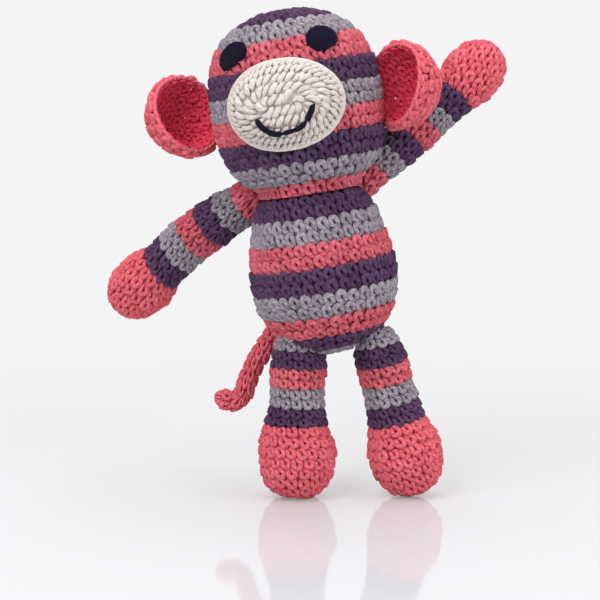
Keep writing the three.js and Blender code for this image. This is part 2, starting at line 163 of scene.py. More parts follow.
def yarnMaterial(name, look):
    # the plies wind round the strand, with painted shade in the grooves between them; the stitch's own
    # shade, fuzz and slow clouds mottle it
    material, tree = newMaterial(name)
    strandMap = addNode(tree, "UVMap", "UV", uv_map="strand")
    winding = (math.tau / twist["pitch"], math.tau * twist["plies"], 0)
    lay = addNode(tree, "VectorMath", "Value", {0: strandMap, 1: winding}, operation="DOT_PRODUCT")
    ply = addMath(tree, "MULTIPLY_ADD", addMath(tree, "SINE", lay), 0.5, 0.5)  # from 0 to 1
    place = addNode(tree, "TexCoord", "Object")
    slow = addNode(tree, "TexNoise", "Fac", {"Vector": place, **twist["slow"]})
    fuzz = addNode(tree, "TexNoise", "Fac", {"Vector": place, **twist["fuzz"]})
    fuzz = addNode(tree, "MapRange", "Result", {"Value": fuzz, **twist["fuzzRange"]})
    tone = addNode(tree, "Attribute", "Fac", attribute_name="shade")
    tone = addMath(tree, "MULTIPLY", tone, twist["shadeShare"])
    # the ply term darkens the colour in the grooves between the plies: painted shade
    tone = addMath(tree, "MULTIPLY_ADD", ply, twist["plyGrooveShade"], tone)
    tone = addMath(tree, "MULTIPLY_ADD", fuzz, look["mottle"], tone)
    tone = addMath(tree, "MULTIPLY_ADD", slow, twist["slowShare"], tone)
    # a mix node has its colours at inputs 6 and 7 and at output 2
    colours = {0: tone, 6: fromScreen(look["deep"]), 7: fromScreen(look["light"])}
    colour = addNode(tree, "Mix", 2, colours, data_type="RGBA", clamp_factor=True)
    height = addMath(tree, "MULTIPLY_ADD", fuzz, twist["fuzzHeight"], ply)
    setInputs(tree, tree.nodes["Principled BSDF"], {
        "Base Color": colour,
        "Roughness": look.get("roughness", twist["roughness"]),
        "Specular IOR Level": twist["specular"],
        "Sheen Weight": look["sheen"],
        "Sheen Roughness": twist["sheenRoughness"],
        "Sheen Tint": fromScreen(look["light"]),
        "Normal": addNode(tree, "Bump", "Normal", {"Height": height, **twist["bump"]}),
    })
    return material


yarn = {name: yarnMaterial(name + "Yarn", look) for name, look in yarnLooks.items()}
blackThread = yarnMaterial("blackThread", threadLook)
print("yarn finishes ready")


# Yarn work: strands are collected here and become one mesh for each piece

def newWork():
    return {"points": [], "faces": [], "paint": [], "uv": [], "shade": [], "count": 0}


def addStrands(work, points, faces, cornerUv, paint, shade):
    work["points"].append(points)
    work["faces"].append(faces + work["count"])
    work["uv"].append(cornerUv)
    work["paint"].append(np.full(len(faces), paint))
    work["shade"].append(shade)
    work["count"] += len(points)


def finishWork(name, work, materials):
    mesh = bpy.data.meshes.new(name)
    faces = [face for block in work["faces"] for face in block.tolist()]
    mesh.from_pydata(np.concatenate(work["points"]).tolist(), [], faces)
    for material in materials:
        mesh.materials.append(material)
    mesh.polygons.foreach_set("material_index", np.concatenate(work["paint"]).astype(np.int32))
    mesh.polygons.foreach_set("use_smooth", np.ones(len(faces), bool))
    strandMap = mesh.uv_layers.new(name="strand")
    strandMap.data.foreach_set("uv", np.concatenate([block.reshape(-1) for block in work["uv"]]))
    shade = mesh.attributes.new("shade", "FLOAT", "POINT")
    shade.data.foreach_set("value", np.concatenate(work["shade"]).astype(np.float32))
    mesh.update()
    piece = bpy.data.objects.new(name, mesh)
    scene.collection.objects.link(piece)
    print(name, "has", len(faces), "faces")
    return piece


strand = {"smoothness": 2, "roundness": 1}


def strandShape(path, radius, tips):
    # one length of yarn: a bevelled curve turned into a mesh, read ring by ring
    bpy.ops.object.select_all(action="DESELECT")
    bpy.ops.curve.primitive_bezier_curve_add()
    curve = bpy.context.object
    spline = curve.data.splines[0]
    spline.bezier_points.add(len(path) - 2)
    for index, knot in enumerate(spline.bezier_points):
        knot.co = path[index]
        knot.handle_left_type = "AUTO"
        knot.handle_right_type = "AUTO"
        knot.radius = tips if index in (0, len(path) - 1) else 1.0
    curve.data.resolution_u = strand["smoothness"]
    curve.data.bevel_depth = radius
    curve.data.bevel_resolution = strand["roundness"]
    bpy.ops.object.convert(target="MESH")
    mesh = curve.data
    points = placesOf(mesh)
    faces = np.array([tuple(face.vertices) for face in mesh.polygons])
    sides = 4 + 2 * strand["roundness"]  # what a bevel of that roundness has
    run = runAlong(points.reshape(-1, sides, 3).mean(1))
    ring, side = np.divmod(faces, sides)
    closing = np.ptp(side, axis=1, keepdims=True) > 1  # the faces where a ring comes back to its start
    side = np.where(closing & (side == 0), sides, side)
    cornerUv = np.stack([run[ring], side / sides], axis=2)
    bpy.data.objects.remove(curve)
    bpy.data.meshes.remove(mesh)
    return {"points": points, "faces": faces, "uv": cornerUv}


def layThread(work, path, radius, look):
    # a separate length of yarn, its path in millimetres, with a shade of its own
    shape = strandShape(path, radius, look["tips"])
    shade = np.full(len(shape["points"]), dice.uniform(*look["shades"]))
    addStrands(work, shape["points"] * mm, shape["faces"], shape["uv"], 0, shade)


# A surface is a grid of points, from a closed end outwards, that yarn is laid on

formColumns = 96  # places round a form
gridSteps = 4  # rings of a surface to each row of stitches


def evenGrid(grid, heights):
    # spaces the rings by one height for each row from the closed end; gives the length too
    levels = np.concatenate([[0], np.cumsum(np.repeat(heights / gridSteps, gridSteps))]) / heights.sum()
    spans = np.linalg.norm(np.diff(grid, axis=0), axis=2)
    run = np.vstack([np.zeros(grid.shape[1]), np.cumsum(spans, axis=0)])
    even = np.empty((len(levels), *grid.shape[1:]))
    for column in range(grid.shape[1]):
        at = levels * run[-1, column]
        for axis in range(3):
            even[:, column, axis] = np.interp(at, run[:, column], grid[:, column, axis])
    return even, run[-1].mean()


noArea = 1e-15  # keeps a point's missing direction from being divided by nothing
poleArea = 1e-10  # a closed end is one point, with no direction of its own


def outwardOf(grid):
    across = np.roll(grid, -1, 1) - np.roll(grid, 1, 1)
    along = np.gradient(grid, axis=0)
    out = np.cross(across, along)
    size = np.linalg.norm(out, axis=2, keepdims=True)
    out = out / np.maximum(size, noArea)
    if size[0].max() < poleArea:
        out[0] = out[1].mean(0) / np.linalg.norm(out[1].mean(0))
    return out


def newSurface(grid):
    return {"grid": grid, "out": outwardOf(grid), "rows": (len(grid) - 1) // gridSteps}


def onSurface(surface, u, v, lift):
    # u is a share of the way round, and v counts rows
    grid = surface["grid"]
    steps, columns = grid.shape[0] - 1, grid.shape[1]
    x = (u % 1.0) * columns
    left = np.floor(x).astype(int)
    fx = (x - left)[..., None]
    left = left % columns
    right = (left + 1) % columns
    y = np.clip(v / surface["rows"], 0, 1) * steps
    low = np.minimum(np.floor(y).astype(int), steps - 1)
    fy = (y - low)[..., None]

    def between(field):
        lower = field[low, left] * (1 - fx) + field[low, right] * fx
        upper = field[low + 1, left] * (1 - fx) + field[low + 1, right] * fx
        return lower * (1 - fy) + upper * fy

    return between(grid) + unit(between(surface["out"])) * lift[..., None]


# The stitch: a loop of yarn whose two legs run down to the lower right, modelled once

stitchLook = {
    "width": 4.45,
    "height": 4.25,
    "yarn": 1.08,
    "tips": 0.3,
    "sink": 1.55,
    "drift": -0.1,
    "uneven": 0.042,
    "liftSway": 4,
    "shades": (0.15, 0.95),
    "fewest": 6,
    "path": [
        (0.46, -0.68, -0.70),
        (0.33, -0.20, 0.50),
        (0.16, 0.27, 0.75),
        (-0.20, 0.24, 0.80),
        (-0.30, -0.14, 0.60),
        (-0.02, -0.46, 0.20),
        (0.42, -0.62, -0.50),
    ],
}


def newStitch(changes):
    # the path is in shares of the stitch's width and height, and in millimetres outwards
    look = {**stitchLook, **changes}
    scale = np.array([look["width"], look["height"], 1.0])
    shape = strandShape((np.array(look["path"]) * scale).tolist(), look["yarn"], look["tips"])
    shape["points"] = shape["points"] / scale
    look["shape"] = shape
    return look


stitch = newStitch({})
print("stitch has", len(stitch["shape"]["faces"]), "faces")


def roundRun(surface, level, steps=192):
    # shares of the way round, and how far round the ring at that level each of them is
    shares = np.linspace(0, 1, steps + 1)
    flat = np.zeros(steps + 1)
    return shares, runAlong(onSurface(surface, shares, flat + level, flat)) / mm


def layRound(work, surface, row, paint, look, turn, keep=None):
    # one row of stitches, which lie as modelled or, with a turn of -1, upside down
    shares, run = roundRun(surface, row + 0.5)
    count = max(look["fewest"], round(run[-1] / look["width"]))
    width = run[-1] / count
    sway = dice.normal(0, look["uneven"], (count, 4))
    shape = look["shape"]["points"]
    middles = (np.arange(count) + 0.5 + look["drift"] * row) % count * width
    along = middles[:, None] + (sway[:, :1] + turn * shape[:, 0]) * width
    u = np.interp(along % run[-1], run, shares)
    v = row + 0.5 + sway[:, 1:2] + turn * shape[:, 1] * (1 + sway[:, 2:3])
    lift = (shape[:, 2] * look.get("gauge", 1) - look["sink"] + look["liftSway"] * sway[:, 3:4]) * mm
    points = onSurface(surface, u, v, lift)
    if keep is not None:
        points = points[np.array([keep(loopPoints.mean(0)) for loopPoints in points])]
    left = len(points)
    starts = np.arange(left)[:, None, None] * len(shape)
    faces = (look["shape"]["faces"][None] + starts).reshape(-1, 4)
    offsets = dice.uniform(0, twist["pitch"], left)[:, None, None, None] * np.array([1.0, 0.0])
    cornerUv = (look["shape"]["uv"][None] + offsets).reshape(-1, 4, 2)
    shade = np.repeat(dice.uniform(*look["shades"], left), len(shape))
    addStrands(work, points.reshape(-1, 3), faces, cornerUv, paint, shade)


backing = {"depth": 1.9, "rowSteps": 2, "poleLevel": 0.12}


def layBacking(work, surface, paints, depth, columns=48, keep=None, pinholes=0):
    # the dense inside of the fabric, which shows dark between the loops; a shade of 0 pulls its colour
    # towards the yarn's deep end, painted shade between the loops
    steps = backing["rowSteps"]
    ring = np.arange(columns)
    ahead = (ring + 1) % columns
    u = np.linspace(0, 1, columns, endpoint=False)
    for row, paint in enumerate(paints):
        levels = np.linspace(row, row + 1, steps + 1)
        levels[0] = max(levels[0], backing["poleLevel"])
        uu, vv = np.meshgrid(u, levels)
        points = onSurface(surface, uu, vv, np.full(uu.shape, -depth * mm)).reshape(-1, 3)
        low = np.arange(steps)[:, None] * columns + ring
        nextLow = np.arange(steps)[:, None] * columns + ahead
        faces = np.stack([low, nextLow, nextLow + columns, low + columns], axis=2).reshape(-1, 4)
        if keep is not None:
            clear = np.array([keep(place) for place in points])
            faces = faces[clear[faces].any(axis=1)]
        faces = faces[dice.uniform(0, 1, len(faces)) >= pinholes]
        addStrands(work, points, faces, np.zeros((len(faces), 4, 2)), paint, np.zeros(len(points)))
    pole = onSurface(surface, u, np.full(columns, backing["poleLevel"]), np.full(columns, -depth * mm))
    points = np.vstack([pole.mean(0), pole])
    faces = np.stack([ring + 1, ahead + 1, np.zeros(columns, int)], axis=1)
    addStrands(work, points, faces, np.zeros((columns, 3, 2)), paints[0], np.zeros(len(points)))


cord = {"sides": 8, "shade": 0.7}


def layCord(work, surface, level, lift, radius):
    # one plain round of yarn, whose level and thickness may change along the way
    sides = cord["sides"]
    u = np.linspace(0, 1, formColumns, endpoint=False)
    v = np.broadcast_to(level, formColumns)
    line = onSurface(surface, u, v, np.full(formColumns, lift * mm))
    out = unit(onSurface(surface, u, v, np.full(formColumns, (lift + 1) * mm)) - line)
    aside = np.cross(unit(np.roll(line, -1, 0) - np.roll(line, 1, 0)), out)
    angles = np.linspace(0, math.tau, sides, endpoint=False)[None, :, None]
    thick = np.broadcast_to(radius, formColumns)[:, None, None] * mm
    tube = line[:, None] + thick * (np.cos(angles) * out[:, None] + np.sin(angles) * aside[:, None])
    ring, side = np.meshgrid(np.arange(formColumns), np.arange(sides), indexing="ij")
    corners = ((ring, side), (ring, side + 1), (ring + 1, side + 1), (ring + 1, side))
    faces = np.stack([r % formColumns * sides + s % sides for r, s in corners], axis=2).reshape(-1, 4)
    run = runAlong(np.vstack([line, line[:1]])) / mm
    cornerUv = np.stack([np.stack([run[r], s / sides], axis=2) for r, s in corners], axis=2)
    shade = np.full(formColumns * sides, cord["shade"])
    addStrands(work, tube.reshape(-1, 3), faces, cornerUv.reshape(-1, 4, 2), 0, shade)


# Stuffed forms: the skin's outside is felt with rays, then swelled by cloth pressure

def waysRound(first, second):
    angles = [math.tau * column / formColumns for column in range(formColumns)]
    return [first * math.cos(angle) + second * math.sin(angle) for angle in angles]


def feelForm(tree, base, axis, look, low, top, reach=0.15):
    # rays fan out over the closed end from one height, then go straight out from there to the top
    fan = [(low, math.radians(turn)) for turn in np.linspace(0, 90, look["capSteps"])]
    straight = [(height, math.pi / 2) for height in np.linspace(low, top, look["sideSteps"])]
    stations = fan + straight[1:]
    backwards = (Vector((0, 1, 0)) - axis * axis.y).normalized()
    ways = waysRound(backwards, axis.cross(backwards))
    grid = np.zeros((len(stations), formColumns, 3))
    for step, (height, turn) in enumerate(stations):
        origin = base + axis * height * mm
        for column, way in enumerate(ways):
            ray = way * math.sin(turn) - axis * math.cos(turn)
            hit = tree.ray_cast(origin + ray * reach, -ray)[0]
            grid[step, column] = hit if hit else grid[step - 1, column]
    return grid


def extendForm(grid, base, axis, profile):
    # goes on past the last ring at the given heights, radii and steps to the front
    way = np.array(axis)
    middle = np.array(base) + way * ((grid[-1].mean(0) - np.array(base)) @ way)
    out = unit(grid[-1] - middle)
    front = np.array([0, -1, 0])
    rings = [
        np.array(base) + (way * height + out * radius + front * forward) * mm
        for height, radius, forward in profile
    ]
    return np.concatenate([grid, np.array(rings)])


def bendForm(rings, base, axis, length, bend):
    # moves each ring aside, by what the bend says at its share of the length
    heights = (rings.mean(1) - np.array(base)) @ np.array(axis) / (length * mm)
    shares, shifts = (np.array(column) for column in zip(*bend))
    moves = np.stack([np.interp(heights, shares, shifts[:, k]) for k in range(3)], axis=1)
    return rings + moves[:, None] * mm


def pressForm(rings, tree, room):
    # a soft form gives way where it meets a firmer one
    pressed = rings.copy()
    for place in np.ndindex(rings.shape[:2]):
        point = Vector(rings[place])
        near, normal = tree.find_nearest(point)[:2]
        depth = (point - near).dot(normal)
        if depth < room * mm:
            pressed[place] = point + normal * (room * mm - depth)
    return pressed


puff = {
    "pressure": 120.0,
    "frames": 20,
    "cap": 0.9,
    "mass": 0.002,
    "coarse": 2,
    "sewnRings": 2,
    "lump": 0.35,
    "lumpScale": 90,
}


def closedForm(name, rings):
    # a mesh over the rings, with a point at both ends
    steps, columns = rings.shape[:2]
    points = np.vstack([rings[0].mean(0), rings[1:].reshape(-1, 3), rings[-1].mean(0)])
    last = len(points) - 1
    pairs = [(here, (here + 1) % columns) for here in range(columns)]
    faces = [(1 + here, 1 + ahead, 0) for here, ahead in pairs]
    for step in range(steps - 2):
        low = 1 + step * columns
        high = low + columns
        faces += [(low + here, low + ahead, high + ahead, high + here) for here, ahead in pairs]
    low = last - columns
    faces += [(low + here, low + ahead, last) for here, ahead in pairs]
    mesh = bpy.data.meshes.new(name)
    mesh.from_pydata(points.tolist(), [], faces)
    form = bpy.data.objects.new(name, mesh)
    scene.collection.objects.link(form)
    return form, points


def puffOut(name, grid):
    # a coarser form swells as cloth, with its last rings held where they are sewn on
    coarse = grid[::puff["coarse"], ::puff["coarse"]]
    columns = coarse.shape[1]
    form, points = closedForm(name, coarse)
    last = len(points) - 1
    sewn = form.vertex_groups.new(name="sewn")
    sewn.add(list(range(last - puff["sewnRings"] * columns, last + 1)), 1.0, "REPLACE")
    cloth = form.modifiers.new("stuffing", "CLOTH")
    cloth.settings.use_pressure = True
    cloth.settings.uniform_pressure_force = puff["pressure"]
    cloth.settings.effector_weights.gravity = 0
    cloth.settings.mass = puff["mass"]
    cloth.settings.vertex_group_mass = "sewn"
    for step in range(1, puff["frames"] + 1):
        scene.frame_set(step)
    pickOnly(form)
    bpy.ops.object.modifier_apply(modifier="stuffing")
    mesh = form.data
    move = placesOf(mesh) - points
    scene.frame_set(1)
    bpy.data.objects.remove(form)
    bpy.data.meshes.remove(mesh)
    moved = np.empty_like(coarse)
    moved[0] = move[0]
    moved[1:] = move[1:last].reshape(-1, columns, 3)
    swell = (moved * outwardOf(coarse)).sum(2) / mm
    print(name, "swelled by", round(float(swell.max()), 2), "mm")
    return np.clip(swell, -puff["cap"], puff["cap"])


def stuffForm(name, grid, lift):
    out = outwardOf(grid)
    lifts = np.interp(np.linspace(0, 1, len(grid)), *zip(*lift))[:, None]
    swell = np.zeros(grid.shape[:2])
    coarse = puffOut(name, grid)
    steps = np.arange(len(coarse))
    rings = np.linspace(0, len(coarse) - 1, len(grid))
    wide = np.stack([np.interp(rings, steps, column) for column in coarse.T], axis=1)
    swell = softened(np.repeat(wide, puff["coarse"], axis=1), 1)
    lumps = np.array([[noise.noise(Vector(p) * puff["lumpScale"]) for p in ring] for ring in grid])
    rise = (swell + lifts + lumps * puff["lump"]) * mm
    rise[0] = rise[0].mean()
    return newSurface(grid + out * rise[..., None])


spineAxis = Vector(hinges["head_turn"]["axis"]).normalized()
headCentre = Vector(hinges["head_turn"]["pos_m"])
headTree = treeOf("head_skin")
torsoTree = treeOf("torso_skin")
stripes = ["purple", "grey", "stripeShadeCoral", "coral"]


def crochetForm(body, rings, look, turn, keep=None):
    # a band is a colour, its number of rows and their height
    rows = sum([[(stripes.index(colour), height)] * count for colour, count, height in look["bands"]], [])
    paints, heights = zip(*rows)
    grid, length = evenGrid(rings, np.array(heights))
    print(body, "rows are", round(length / mm / len(rows), 2), "mm")
    surface = stuffForm(body + "Form", grid, look["lift"])
    work = newWork()
    for row, paint in enumerate(paints):
        layRound(work, surface, row, paint, stitch, turn, keep)
    layBacking(work, surface, paints, backing["depth"], keep=keep)
    return finishWork(body + "_crochet", work, [yarn[colour] for colour in stripes])


torsoLook = {
    "fromHead": 93.3,
    "widest": 27,
    "top": 59.5,
    "capSteps": 40,
    "sideSteps": 30,
    "tuck": [(60.6, 18.9, 0), (62.4, 18.2, 0)],
    "bend": [(0, (0.2, 0, -1.4)), (0.22, (0, 0, 0))],
    "lift": [(0, -0.4)],
    "fill": 0.85,
    "bands": [
        ("grey", 3, 0.83), ("purple", 2, 1.1), ("stripeShadeCoral", 2, 1.02), ("grey", 2, 1.0),
        ("purple", 2, 1.02), ("stripeShadeCoral", 2, 0.96), ("grey", 2, 1.0), ("purple", 3, 1.15),
    ],
}


def makeTorso(look):
    base = headCentre - spineAxis * look["fromHead"] * mm
    rings = feelForm(torsoTree, base, spineAxis, look, look["widest"], look["top"])
    rings = extendForm(rings, base, spineAxis, look["tuck"])
    rings = bendForm(rings, base, spineAxis, look["top"], look["bend"])
    piece = crochetForm("torso", rings, look, turn=1)
    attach(piece, "torso")
    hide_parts("torso_skin")


makeTorso(torsoLook)

headLook = {
    "jaw": 32.6,
    "capSteps": 50,
    "sideSteps": 30,
    "hem": [(33.8, 19.9, 0), (35.0, 19.8, 0)],
    "lift": [(0, -0.4)],
    "fill": 0.85,
    "bands": [
        ("purple", 5, 0.86), ("grey", 2, 1.1), ("stripeShadeCoral", 2, 1.18), ("purple", 2, 0.96), ("grey", 2, 0.96),
        ("stripeShadeCoral", 2, 0.95), ("purple", 2, 1.06), ("grey", 2, 1.18), ("stripeShadeCoral", 1, 1.12),
    ],
}


def makeHead(look):
    rings = feelForm(headTree, headCentre, -spineAxis, look, 0, look["jaw"])
    rings = extendForm(rings, headCentre, -spineAxis, look["hem"])
    piece = crochetForm("head", rings, look, turn=-1)
    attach(piece, "head")
    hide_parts("head_skin")


makeHead(headLook)

# Limbs are worked from the hand or foot to the root, which is tucked into the torso

limbLook = {"capSteps": 36, "sideSteps": 40, "tucked": 1.6, "fill": 0.8}
rightArmLook = {
    **limbLook,
    "cap": 16,
    "widenFrom": 12,
    "root": [(0, 7.8, 0), (4, 7.6, 0), (8, 6.8, 0), (11.5, 4.8, 0)],
    "bend": [
        (0, (0, 0, -0.5)), (0.25, (0, 0, 0)), (0.6, (-1.2, 0, 1.7)), (0.85, (-0.6, 0, 1.5)),
        (1, (0.3, 0, 0.5)),
    ],
    "lift": [(0, 0.3)],
    "roomAtHead": 0.8,
    "blendBefore": 4,
    "blendAfter": 12,
    "bands": [
        ("coral", 7, 1.0), ("purple", 2, 1.0), ("grey", 2, 1.0), ("stripeShadeCoral", 2, 0.93),
        ("purple", 2, 0.93), ("grey", 2, 0.93), ("stripeShadeCoral", 2, 1.3),
    ],
}
leftArmLook = {
    **rightArmLook,
    "root": [(0, 7.2, 0), (3, 6.6, 0), (6, 5.6, 0), (9, 4.2, 0), (11, 2.4, 0)],
    "bend": [
        (0.35, (0, 0, 0)), (0.6, (-0.8, 0, 0.9)), (0.8, (-1.5, 0, 1.7)), (1, (-2.0, 0, 2.5)),
        (1.17, (-3.0, 0, -2.0)),
    ],
    "lift": [(0, -0.5)],
    "bands": [
        ("coral", 7, 1.0), ("purple", 2, 0.91), ("grey", 2, 0.77), ("stripeShadeCoral", 2, 0.92),
        ("purple", 2, 0.95), ("grey", 2, 0.95), ("stripeShadeCoral", 4, 1.0),
    ],
}
rightLegLook = {
    **limbLook,
    "cap": 17.5,
    "widenFrom": 9,
    "root": [(0, 10.8, 0.5), (4, 10.8, 2.0), (8, 10.2, 4.2), (12, 9.2, 6.4), (16, 7.4, 8.4)],
    "bend": [(0, (0, 0, 0)), (0.35, (0, 0, 0)), (0.55, (-0.8, 0, 0)), (1, (-0.8, 0, 0))],
    "lift": [(0, -0.3), (0.15, 0.2), (0.25, 0.5), (0.5, 0.5), (0.62, -0.3)],
    "blendBefore": 5,
    "blendAfter": 14,
    "bands": [
        ("coral", 9, 1.1), ("purple", 2, 0.93), ("grey", 2, 1.0), ("stripeShadeCoral", 2, 1.0),
        ("purple", 2, 1.0), ("grey", 2, 1.0),
    ],
}
leftLegLook = {
    **rightLegLook,
    "root": [(0, 10.4, 0.5), (4, 9.8, 1.8), (8, 8.4, 3.4), (12, 6.2, 5.0)],
    "bend": [(0, (0, 0, 0)), (0.45, (-0.3, 0, 0)), (1, (-1.3, 0, 0))],
    "lift": [(0, -0.5), (0.2, -0.4), (0.3, 0.0), (0.5, 0.0), (0.65, -0.7)],
}
limbBends = {}
limbBlends = {}


def standOnFloor(piece):
    for vertex in piece.data.vertices:
        vertex.co.z = max(vertex.co.z, 0.0)


def makeLimb(body, look):
    pivot = Vector(hinges[body + "_swing"]["pos_m"])
    filling = [vertex.co for vertex in nodes[body + "_stuffing"].data.vertices]
    tip = max(filling, key=lambda place: (place - pivot).length)
    away = (tip - pivot).normalized()
    skin = [vertex.co for vertex in nodes[body + "_skin"].data.vertices]
    length = max((place - pivot).dot(away) for place in skin) / mm
    end = pivot + away * length * mm
    rings = feelForm(treeOf(body + "_skin"), end, -away, look, look["cap"], length - look["widenFrom"])
    root = [(length + past, wide, forward) for past, wide, forward in look["root"]]
    rings = extendForm(rings, end, -away, root)
    limbBends[body] = (end, -away, length, look["bend"])
    rings = bendForm(rings, *limbBends[body])
    if "arm" in body:
        rings = pressForm(rings, headTree, look["roomAtHead"])

    def clearOfTorso(place):
        return isOutside(place, torsoTree, look["tucked"])

    piece = crochetForm(body, rings, look, turn=-1, keep=clearOfTorso)
    if "leg" in body:
        standOnFloor(piece)
    limbBlends[body] = {
        "start": pivot - away * look["blendBefore"] * mm,
        "end": pivot + away * look["blendAfter"] * mm,
    }
    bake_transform(piece)
    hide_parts(body + "_skin")


makeLimb("right_arm", rightArmLook)
makeLimb("left_arm", leftArmLook)
makeLimb("right_leg", rightLegLook)
makeLimb("left_leg", leftLegLook)
print("stuffed forms ready")


# The head's own directions: across to its left, back, and up along the spine

headTurnAngle = math.radians(-8)
lean = math.asin(spineAxis.x)
headRotation = Matrix.Rotation(lean, 3, "Y") @ Matrix.Rotation(headTurnAngle, 3, "Z")
headAcross, headBack, headUp = (headRotation.col[i].copy() for i in range(3))


def headPlace(across, back, up):
    return headCentre + (headAcross * across + headBack * back + headUp * up) * mm


muzzleLook = {
    "halfChain": 4.2,
    "bendRadius": 12,
    "rows": 5,
    "middle": (0, -24.8, -2.4),
    "lastTurn": 92,
    "turnSteps": 60,
    "reach": 0.1,
    "buried": 0.2,
    "stitch": {
        "width": 2.7,
        "height": 3.3,
        "yarn": 0.98,
        "sink": 1.1,
        "drift": 0.37,
        "uneven": 0.07,
        "path": [
            (-0.66, -0.46, -0.5),
            (-0.36, -0.27, 0.4),
            (0.0, 0.0, 0.62),
            (0.36, 0.27, 0.4),
            (0.66, 0.46, -0.5),
        ],
    },
    "rim": {"width": 2.3, "gauge": 0.8, "uneven": 0.03},
    "rimRows": 2,
    "backing": 1.3,
    "edgeRow": 4.85,
    "edgeYarn": 1.25,
    "edgeLift": -0.7,
    "fill": 0.7,
}


def stadium(share, half, radius):
    # clockwise from the top's left end, as seen from the front: a place on the chain and the way out
    straight = 2 * half
    bend = math.pi * radius
    run = share * 2 * (straight + bend)
    if run < straight:
        return run - half, (0.0, 1.0)
    run -= straight
    if run < bend:
        angle = math.pi / 2 - run / radius
        return half, (math.cos(angle), math.sin(angle))
    run -= bend
    if run < straight:
        return half - run, (0.0, -1.0)
    angle = -math.pi / 2 - (run - straight) / radius
    return -half, (math.cos(angle), math.sin(angle))


def muzzleSurface(look):
    # rays fan out from a short chain and find the muzzle, as far as it stands clear of the head
    tree = treeOf("muzzle_skin")
    turns = np.linspace(0, math.radians(look["lastTurn"]), look["turnSteps"])
    middleAcross, middleBack, middleUp = look["middle"]
    heights = np.ones(look["rows"])
    grid = np.zeros((look["rows"] * gridSteps + 1, formColumns, 3))
    for column in range(formColumns):
        along, (sideways, upward) = stadium(column / formColumns, look["halfChain"], look["bendRadius"])
        origin = headPlace(middleAcross + along, middleBack, middleUp)
        out = headAcross * sideways + headUp * upward
        line = []
        for turn in turns:
            ray = out * math.sin(turn) - headBack * math.cos(turn)
            hit = tree.ray_cast(origin + ray * look["reach"], -ray)[0]
            if hit and (hit - origin).dot(ray) > 0 and isOutside(hit, headTree, look["buried"]):
                line.append(hit)
        grid[:, column] = evenGrid(np.array(line)[:, None], heights)[0][:, 0]
    grid[1:] = softened(grid[1:], 1)
    surface = newSurface(grid)
    surface["out"][0] = np.array(-headBack)
    return surface


def makeMuzzle(look):
    surface = muzzleSurface(look)
    work = newWork()
    low = newStitch(look["stitch"])
    for row in range(look["rows"]):
        flatter = look["rim"] if row >= look["rows"] - look["rimRows"] else {}
        layRound(work, surface, row, 0, {**low, **flatter}, turn=1)
    layBacking(work, surface, [0] * look["rows"], look["backing"])
    layCord(work, surface, look["edgeRow"], look["edgeLift"], look["edgeYarn"])
    piece = finishWork("muzzle_crochet", work, [yarn["cream"]])
    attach(piece, "head")
    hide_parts("muzzle_skin")


makeMuzzle(muzzleLook)

mouthLook = {
    "stitches": [
        (0, 0.16, 1.1), (0.13, 0.4, 1.05), (0.41, 0.62, 0.85),
        (0.6, 0.82, 0.95), (0.79, 0.88, 0.5), (0.85, 1, 1.15),
    ],
    "tips": 0.35,
    "shades": (0.1, 0.6),
    "shoulder": 0.18,
    "lift": 0.3,
    "bow": 0.35,
    "proud": 0.75,
    "rooted": 1.4,
    "halfWidth": 10.2,
    "shift": 1.1,
    "sag": 7,
    "drop": 4.9,
    "slant": 1,
    "power": 3.2,
    "ahead": 80,
}


def makeMouth(look):
    # back stitches along the line of the thread: where each begins and ends, and its thickness
    tree = treeOf("muzzle_skin")
    front = -headBack * mm

    def onThread(share, rise):
        across = 2 * share - 1
        sideways = across * look["halfWidth"] + look["shift"]
        low = look["drop"] + look["sag"] * (1 - abs(across) ** look["power"])
        ahead = headPlace(sideways, -look["ahead"], look["slant"] * across - low)
        place = tree.ray_cast(ahead, headBack)[0] + front * (look["proud"] + rise)
        return tuple(place / mm)

    work = newWork()
    for first, last, thick in look["stitches"]:
        shoulder = look["shoulder"] * (last - first)
        path = [
            onThread(first, -look["rooted"]),
            onThread(first + shoulder, look["lift"]),
            onThread(first + 0.5 * (last - first), look["lift"] + look["bow"]),
            onThread(last - shoulder, look["lift"]),
            onThread(last, -look["rooted"]),
        ]
        layThread(work, path, thick, look)
    piece = finishWork("mouth_stitches", work, [blackThread])
    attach(piece, "head")
    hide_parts("mouth_thread")


makeMouth(mouthLook)

eyeLook = {
    "width": 11.8,
    "height": 9.4,
    "threads": 11,
    "thread": 0.62,
    "tips": 0.6,
    "shades": (0, 0.3),
    "proud": 1.1,
    "power": 4,
    "crown": 0.4,
    "sunk": 0.25,
    "rooted": 1.0,
    "slant": 18,
    "reach": 0.03,
    "along": (-1.06, -0.96, -0.55, 0, 0.55, 0.96, 1.06),
}


def makeEye(side, look):
    # satin stitch: parallel threads over a low pad
    places = [vertex.co for vertex in nodes[side + "_eye"].data.vertices]
    near, normal = headTree.find_nearest(sum(places, Vector()) / len(places))[:2]
    across = headUp.cross(normal).normalized()
    up = normal.cross(across)
    slant = math.radians(look["slant"])
    along = across * math.cos(slant) + up * math.sin(slant)
    aside = up * math.cos(slant) - across * math.sin(slant)
    work = newWork()
    for index in range(look["threads"]):
        level = (index + 0.5) / look["threads"] * 2 - 1
        width = math.sqrt(1 - level * level) * look["width"] / 2
        path = []
        for share in look["along"]:
            place = near + (along * share * width + aside * level * look["height"] / 2) * mm
            hit = headTree.ray_cast(place + normal * look["reach"], -normal)[0] or place
            dome = math.sqrt(max(0, 1 - share ** look["power"]))
            rise = look["proud"] * dome * (1 - look["crown"] * level * level)
            rise -= look["rooted"] if abs(share) > 1 else look["sunk"]
            path.append(tuple((hit + normal * rise * mm) / mm))
        layThread(work, path, look["thread"], look)
    piece = finishWork(side + "_eye_stitches", work, [blackThread])
    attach(piece, "head")
    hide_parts(side + "_eye")


makeEye("right", eyeLook)
makeEye("left", eyeLook)
print("face ready")

